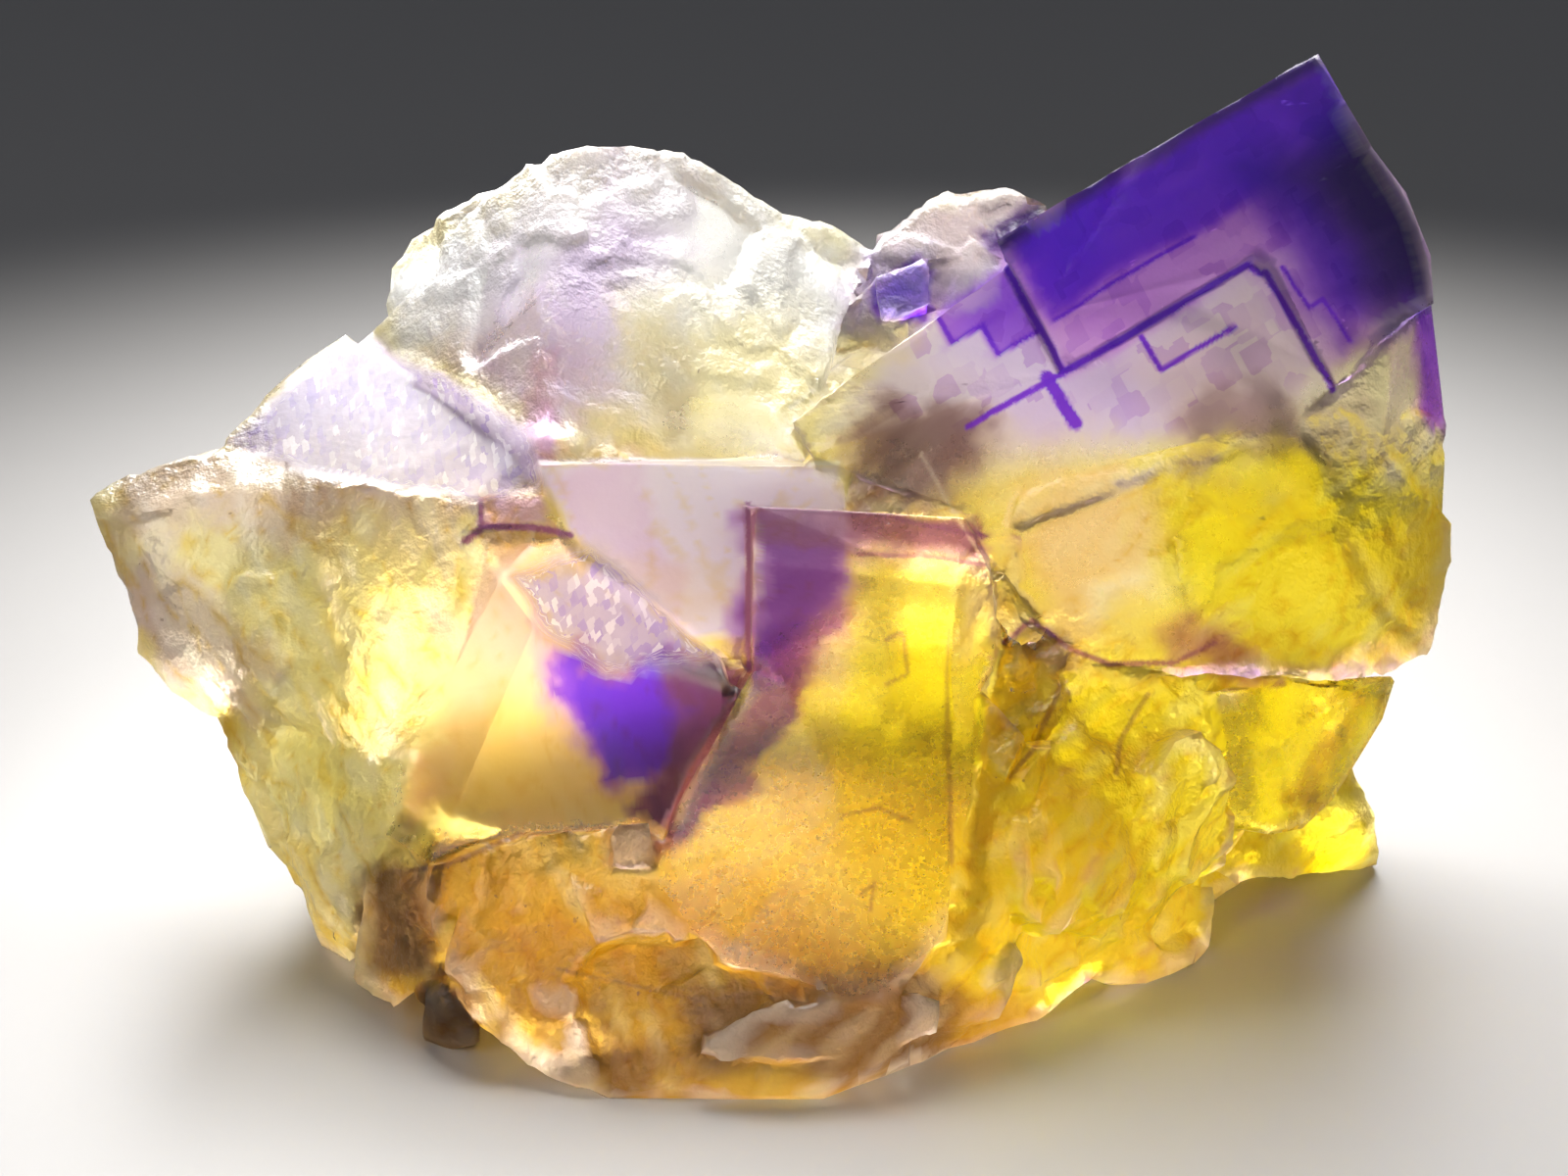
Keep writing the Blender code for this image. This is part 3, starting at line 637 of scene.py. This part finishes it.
def paint(mesh, ridge):
    """Stores each point's colour, dirt, roughness, and how far it is great crystal or frosted."""
    places = points(mesh)
    u, v, near = on_picture(places)
    stray, feather = wander(places)
    flat = read(mesh, "flat")
    dirt = dirt_patches(u, v, near, stray, flat)
    store(mesh, "dirt", dirt - flat * 0.8)
    zones = mesh.color_attributes.new("zones", "FLOAT_COLOR", "POINT")
    colour = zone_colours(u, v, near, stray, feather, flat, ridge, dirt)
    zones.data.foreach_set("color", colour.ravel().astype(np.float32))

    wobbled = u + stray[:, 0] * 0.2, v + stray[:, 1] * 0.2
    frost = np.maximum(inside(*wobbled, SHELF_OUTLINE, 0.4), inside(*wobbled, LEDGE_OUTLINE, 0.4))
    crystal = inside(*wobbled, GREAT_OUTLINE, 1.0)
    cloudy = inside(*wobbled, MIDDLE_OUTLINE, 0.5) * 0.3
    cloudy += inside(*wobbled, WALL_OUTLINE, 1.0) * 0.25
    store(mesh, "frost", frost)
    store(mesh, "crystal", crystal)
    store(mesh, "rough", 0.40 - flat * 0.13 + frost * 0.35 + crystal * 0.2 + cloudy)


def read(mesh, name):
    values = np.empty(len(mesh.vertices))
    mesh.attributes[name].data.foreach_get("value", values)
    return values


def store(mesh, name, values):
    layer = mesh.attributes.new(name, "FLOAT", "POINT")
    layer.data.foreach_set("value", values.astype(np.float32))


def fluorite():
    """Clear crystal, with the mesh's colour and roughness, and with grain, specks and steps."""
    shading = Shading("fluorite")
    place = shading.node("ShaderNodeTexCoord", {}, {}, "Object")
    place = shading.vector("MULTIPLY", place, (1 / MM, 1 / MM, 1 / MM))
    colour = shading.node("ShaderNodeAttribute", {"attribute_name": "zones"}, {}, "Color")
    flat, frost, crystal = (shading.attribute(name) for name in ("flat", "frost", "crystal"))
    fine = shading.noise(place, 2.1, 2, 0.6)

    # small growth steps on the great crystal, and the sparkle of the frosted shelf and ledge
    s = shading.dot(place, (GREAT_ALONG.x, 0, GREAT_ALONG.y))
    t = shading.dot(place, (GREAT_DOWN.x, 0, GREAT_DOWN.y))
    size = 1.0 + frost * 2.4
    steps = shading.square_cells(shading.combine(s * size, t * size, 0.0), 0.9, 0.8)
    step = shading.dot(steps, (0.5, 0.5, 0.0))
    colour = shading.mix(crystal * step.rise(0.5, 0.2) * 0.8, colour, STEP_TINT, "MULTIPLY")
    colour = shading.mix(frost * step.rise(0.45, 0.2) * 0.8, colour, FROST_SHADE)
    colour = shading.mix(frost * step.rise(0.6, 0.85) * 0.5, colour, WHITE)

    # brown specks
    dirt = shading.attribute("dirt")
    colour = shading.mix((fine + dirt * 0.09).rise(0.25, 0.31) * 0.7, colour, BROWN)

    grain = {"Strength": 0.5, "Distance": 0.3 * MM, "Height": fine * (1 - flat * 0.92)}
    bump = shading.node("ShaderNodeBump", {}, grain)
    underside = shading.dot(place, (0, 0, 1)).rise(0.8, 0.2)
    roughness = (shading.attribute("rough") + fine * 0.2).most(underside)
    absorption = {"Color": DEPTH_TINT, "Density": ABSORPTION}
    volume = shading.node("ShaderNodeVolumeAbsorption", {}, absorption)
    shading.feed(shading.tree.nodes["Material Output"].inputs["Volume"], volume)
    return shading.finish(Base_Color=colour, Roughness=roughness, IOR=FLUORITE_IOR,
                          Transmission_Weight=TRANSMISSION, Normal=bump)


# Table, light and camera, in millimetres and watts

TABLE_REACH = 1500
TABLE_END = 450
CURVE = 80
TABLE_GAP = 0.02
LIGHTS = [
    # name, place, what it points at, diameter, power, spread in degrees
    ("back_light", (4, 80, 104), (5, 12, 14), 150, 0.25, 84),
    ("peak_light", (-34, 60, 60), (-12, 5, 30), 34, 0.025, 70),
    ("front_fill", (-120, -160, 160), (0, 0, 18), 160, 0.17, 180),
]


def sweep():
    """A pale table that curves up into a wall far behind the specimen."""
    profile = [(-TABLE_REACH, 0), (TABLE_END, 0)]
    for turn in range(6, 85, 6):
        c, s = cos(radians(turn)), sin(radians(turn))
        profile.append((TABLE_END + CURVE * s, CURVE - CURVE * c))
    profile += [(TABLE_END + 85, 90), (TABLE_END + 100, 1200)]
    bm = bmesh.new()
    rows = [[bm.verts.new((x * MM, y * MM, (z - TABLE_GAP) * MM)) for y, z in profile]
            for x in (-TABLE_REACH, TABLE_REACH)]
    for left, right, after_right, after_left in zip(rows[0], rows[1], rows[1][1:], rows[0][1:]):
        bm.faces.new((left, right, after_right, after_left)).smooth = True
    mesh = bpy.data.meshes.new("sweep")
    bm.to_mesh(mesh)
    bm.free()
    table = bpy.data.objects.new("sweep", mesh)
    bpy.context.scene.collection.objects.link(table)
    material = bpy.data.materials.new("sweep")
    material.use_nodes = True
    shader = material.node_tree.nodes["Principled BSDF"]
    shader.inputs["Base Color"].default_value = TABLE_GREY
    shader.inputs["Roughness"].default_value = 0.6
    mesh.materials.append(material)


def area_light(name, place, target, size, power, spread):
    data = bpy.data.lights.new(name, "AREA")
    data.shape = "DISK"
    data.size = size * MM
    data.energy = power
    data.spread = radians(spread)
    light = bpy.data.objects.new(name, data)
    bpy.context.scene.collection.objects.link(light)
    light.location = Vector(place) * MM
    light.visible_camera = False
    aim = Vector(target) * MM - light.location
    light.rotation_euler = aim.to_track_quat("-Z", "Y").to_euler()


def lights():
    world = bpy.data.worlds.new("room")
    bpy.context.scene.world = world
    world.use_nodes = True
    background = world.node_tree.nodes["Background"]
    background.inputs["Color"].default_value = ROOM_LIGHT
    background.inputs["Strength"].default_value = 0.22
    for light in LIGHTS:
        area_light(*light)


def camera():
    """A camera that sees the picture plane as the zones are drawn on it."""
    data = bpy.data.cameras.new("camera")
    data.sensor_width = 36
    data.lens = data.sensor_width * EYE_DISTANCE / FRAME_WIDTH
    data.clip_start = 0.01
    made = bpy.data.objects.new("camera", data)
    bpy.context.scene.collection.objects.link(made)
    made.location = (PICTURE_CENTRE + NEARWARDS * EYE_DISTANCE) * MM
    made.rotation_euler = (-NEARWARDS).to_track_quat("-Z", "Y").to_euler()
    bpy.context.scene.camera = made


# few bounces keep a clear body quick to render
bpy.context.scene.view_settings.view_transform = "Standard"
bpy.context.scene.cycles.max_bounces = 6
bpy.context.scene.cycles.transmission_bounces = 5
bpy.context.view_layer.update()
piece = crystal_body(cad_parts[CLUSTER])
piece.data.materials.append(fluorite())
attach(piece, "root")
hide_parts(CLUSTER)
sweep()
lights()
camera()
